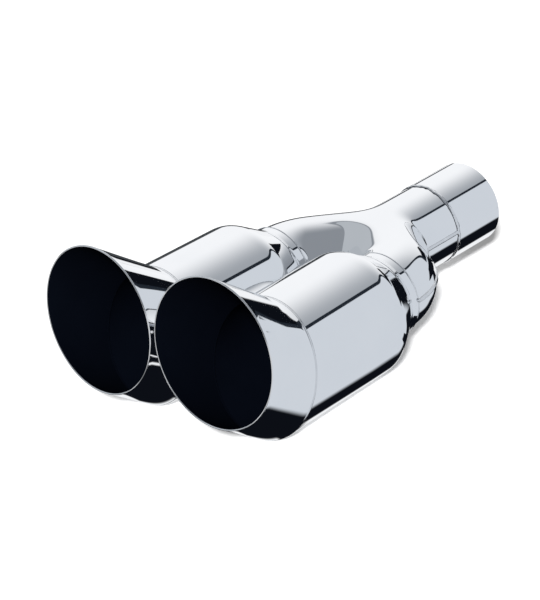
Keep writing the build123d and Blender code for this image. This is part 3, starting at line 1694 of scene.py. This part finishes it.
@dataclass
class Room:
    """The room: white behind the object, even light, and what the metal mirrors above the floor.

    The metal mirrors a pale board on the right with a rounded corner and a dark frame, a ceiling that is
    bright on the left and dimmer on the right and in front, a grey panel in it, and darkness low on the left.
    """

    tones: Tones = Tones()
    light: float = 0.02
    white: Colour = (1.0, 1.0, 1.0)
    board_facing: float = math.radians(61.7)
    board_nearest: float = 0.02
    board_top: float = 0.833
    board_corner: float = 0.5
    board_side_slant: float = 0.05
    board_side_drop: float = -4.84
    board_side_weight: float = -1.9
    frame_width: float = 0.137
    frame_soft: float = 0.007
    panel_left: float = -0.45
    panel_front: float = 0.42
    panel_corner: float = 0.15
    panel_rim: Span = (0.05, 0.02)
    panel_fade: Span = (0.005, -0.005)
    ceiling_across: Span = (0.42, -0.5)
    ceiling_along: Span = (0.6, -0.05)
    skyline: float = -0.03
    skyline_rise: float = 0.16
    skyline_span: Span = (-0.4, -0.28)
    left_rise: float = 0.08
    left_span: Span = (-0.6, -0.68)
    skyline_fade: Span = (0.01, -0.01)
    left_of_board: Span = (0.0, -0.02)
    dusk_span: Span = (-0.45, -0.6)

    def build(self) -> None:
        """Set up the world."""
        world = bpy.data.worlds.new("studio")
        world.use_nodes = True
        bpy.context.scene.world = world
        graph = Graph(world.node_tree)
        rays = graph.node("ShaderNodeLightPath").outputs
        lit = graph.blend(rays["Is Camera Ray"], (self.light, self.light, self.light), self.white)
        shown = graph.blend(rays["Is Glossy Ray"], lit, self._mirrored(graph))
        background = graph.node("ShaderNodeBackground")
        graph.feed(background.inputs["Color"], shown)
        graph.feed(graph.node("ShaderNodeOutputWorld").inputs["Surface"], background.outputs[0])

    def _mirrored(self, graph: Graph) -> Socket:
        """Colour of the room in each direction, as the metal mirrors it.

        Args:
            graph: The world's node tree.

        Returns:
            The colour.
        """
        tones = self.tones
        x, y, z = graph.place("Generated")
        board_side = graph.math("MULTIPLY_ADD", y, self.board_side_slant, x)
        drop = graph.math("MINIMUM", z, 0.0)
        board_side = graph.math("MULTIPLY_ADD", drop, self.board_side_drop, board_side)
        past_board = self._past_corner(
            graph,
            graph.math("SUBTRACT", self._board_slope(graph, x, y, z), self.board_top),
            graph.product(board_side, self.board_side_weight),
            self.board_corner,
        )
        past_panel = self._past_corner(
            graph,
            graph.math("SUBTRACT", x, self.panel_left),
            graph.math("SUBTRACT", y, self.panel_front),
            self.panel_corner,
        )
        skyline = graph.course(
            x,
            self.skyline,
            (self.skyline_span, self.skyline_rise),
            (self.left_span, self.left_rise),
        )
        low_left = graph.product(
            graph.rise(graph.math("SUBTRACT", z, skyline), self.skyline_fade),
            graph.rise(board_side, self.left_of_board),
        )
        return graph.layers(
            tones.ceiling_dim,
            (graph.rise(x, self.ceiling_across), tones.ceiling_bright),
            (graph.rise(y, self.ceiling_along), tones.ceiling_front),
            (graph.rise(past_panel, self.panel_rim), tones.ceiling_front),
            (graph.rise(past_panel, self.panel_fade), tones.panel_grey),
            (low_left, graph.blend(graph.rise(x, self.dusk_span), tones.night, tones.dusk)),
            (graph.rise(past_board, around(self.frame_width, -self.frame_soft)), tones.ink),
            (graph.rise(past_board, around(0.0, -self.frame_soft)), tones.pale),
        )

    @staticmethod
    def _past_corner(graph: Graph, first: Socket, second: Socket, corner: float) -> Socket:
        """How far a place lies past two edges that meet in a rounded corner, negative inside both.

        Args:
            graph: The node tree.
            first: How far it lies past the first edge.
            second: How far it lies past the second edge.
            corner: Radius of the corner.

        Returns:
            The distance.
        """
        squares = []
        for past in (first, second):
            reach = graph.math("MAXIMUM", graph.math("ADD", past, corner), 0.0)
            squares.append(graph.product(reach, reach))
        return graph.math("SUBTRACT", graph.math("SQRT", graph.math("ADD", *squares)), corner)

    def _board_slope(self, graph: Graph, x: Socket, y: Socket, z: Socket) -> Socket:
        """Height over distance towards the board, large where a direction points away from it.

        Args:
            graph: The world's node tree.
            x: Direction's part across.
            y: Direction's part along.
            z: Direction's part upwards.

        Returns:
            The slope.
        """
        sideways = graph.product(x, math.sin(self.board_facing))
        depth = graph.math("MULTIPLY_ADD", y, math.cos(self.board_facing), sideways)
        return graph.math("DIVIDE", z, graph.math("MAXIMUM", depth, self.board_nearest))


@dataclass
class Viewpoint:
    """The camera, at the photograph's angle and with its small roll."""

    aim: Vector = field(default_factory=lambda: Vector((-0.0009, -0.2076, 0.0100)))
    distance: float = 1.75
    azimuth: float = math.radians(46.5)
    elevation: float = math.radians(24.3)
    roll: float = math.radians(-8.5)
    lens: float = 156.0
    sensor: float = 36.0
    sight: float = 50.0

    def axes(self) -> tuple[Vector, Vector, Vector]:
        """Find the camera's directions.

        Returns:
            Right, upright and backward.
        """
        back = Vector((
            math.sin(self.azimuth) * math.cos(self.elevation),
            -math.cos(self.azimuth) * math.cos(self.elevation),
            math.sin(self.elevation),
        ))
        level = Vector((math.cos(self.azimuth), math.sin(self.azimuth), 0))
        right = level * math.cos(self.roll) + back.cross(level) * math.sin(self.roll)
        return right, back.cross(right), back

    def build(self) -> None:
        """Set up the camera."""
        axes = self.axes()
        turned = Matrix(axes).transposed().to_4x4()
        lens = bpy.data.cameras.new("camera")
        lens.lens = self.lens
        lens.sensor_fit = "VERTICAL"
        lens.sensor_height = self.sensor
        lens.clip_end = self.sight
        camera = bpy.data.objects.new("camera", lens)
        camera.matrix_world = Matrix.Translation(self.aim + axes[2] * self.distance) @ turned
        bpy.context.scene.collection.objects.link(camera)
        bpy.context.scene.camera = camera


@dataclass
class Lamp:
    """A soft lamp, above and to the left of the camera, which only the floor and the bores see."""

    strength: float = 5.8
    spread: float = math.radians(6)
    left: float = 0.09
    up: float = 0.12

    def build(self, view: Viewpoint) -> None:
        """Hang the lamp.

        Args:
            view: The camera that it hangs beside.
        """
        right, upright, back = view.axes()
        lamp = bpy.data.lights.new("soft_lamp", "SUN")
        lamp.energy = self.strength
        lamp.angle = self.spread
        holder = bpy.data.objects.new("soft_lamp", lamp)
        towards = back - right * self.left + upright * self.up
        holder.rotation_euler = towards.to_track_quat("Z", "Y").to_euler()
        holder.visible_glossy = False
        bpy.context.scene.collection.objects.link(holder)


@dataclass
class Studio:
    """Everything round the object: floor, room, lamp and camera."""

    floor: Floor = field(default_factory=Floor)
    room: Room = field(default_factory=Room)
    lamp: Lamp = field(default_factory=Lamp)
    view: Viewpoint = field(default_factory=Viewpoint)

    def build(self, low: Vector) -> None:
        """Set up everything round the object.

        Args:
            low: Lowest corner of the object, which stands on the floor.
        """
        bpy.context.scene.view_settings.view_transform = "Standard"
        self.floor.build(low.z)
        self.room.build()
        self.lamp.build(self.view)
        self.view.build()


def main() -> None:
    """Load the frame, build every piece over it and set up the studio."""
    logging.basicConfig(level=logging.INFO, format="%(name)s: %(message)s")
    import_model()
    Bench.clear()
    dresser = Dresser(MIRROR_POLISH.material(), POLISHED_BEAD.material(), BORE_PAINTED_SHADE.material())
    InletPipe().build(dresser)
    y_piece = YPiece()
    y_piece.build(dresser)
    Tip().build(dresser, y_piece.on_return(y_piece.tip_splay), y_piece.tip_splay)
    dressed_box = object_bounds()
    Studio().build(Vector(dressed_box[0]))


if __name__ == "__main__":
    main()
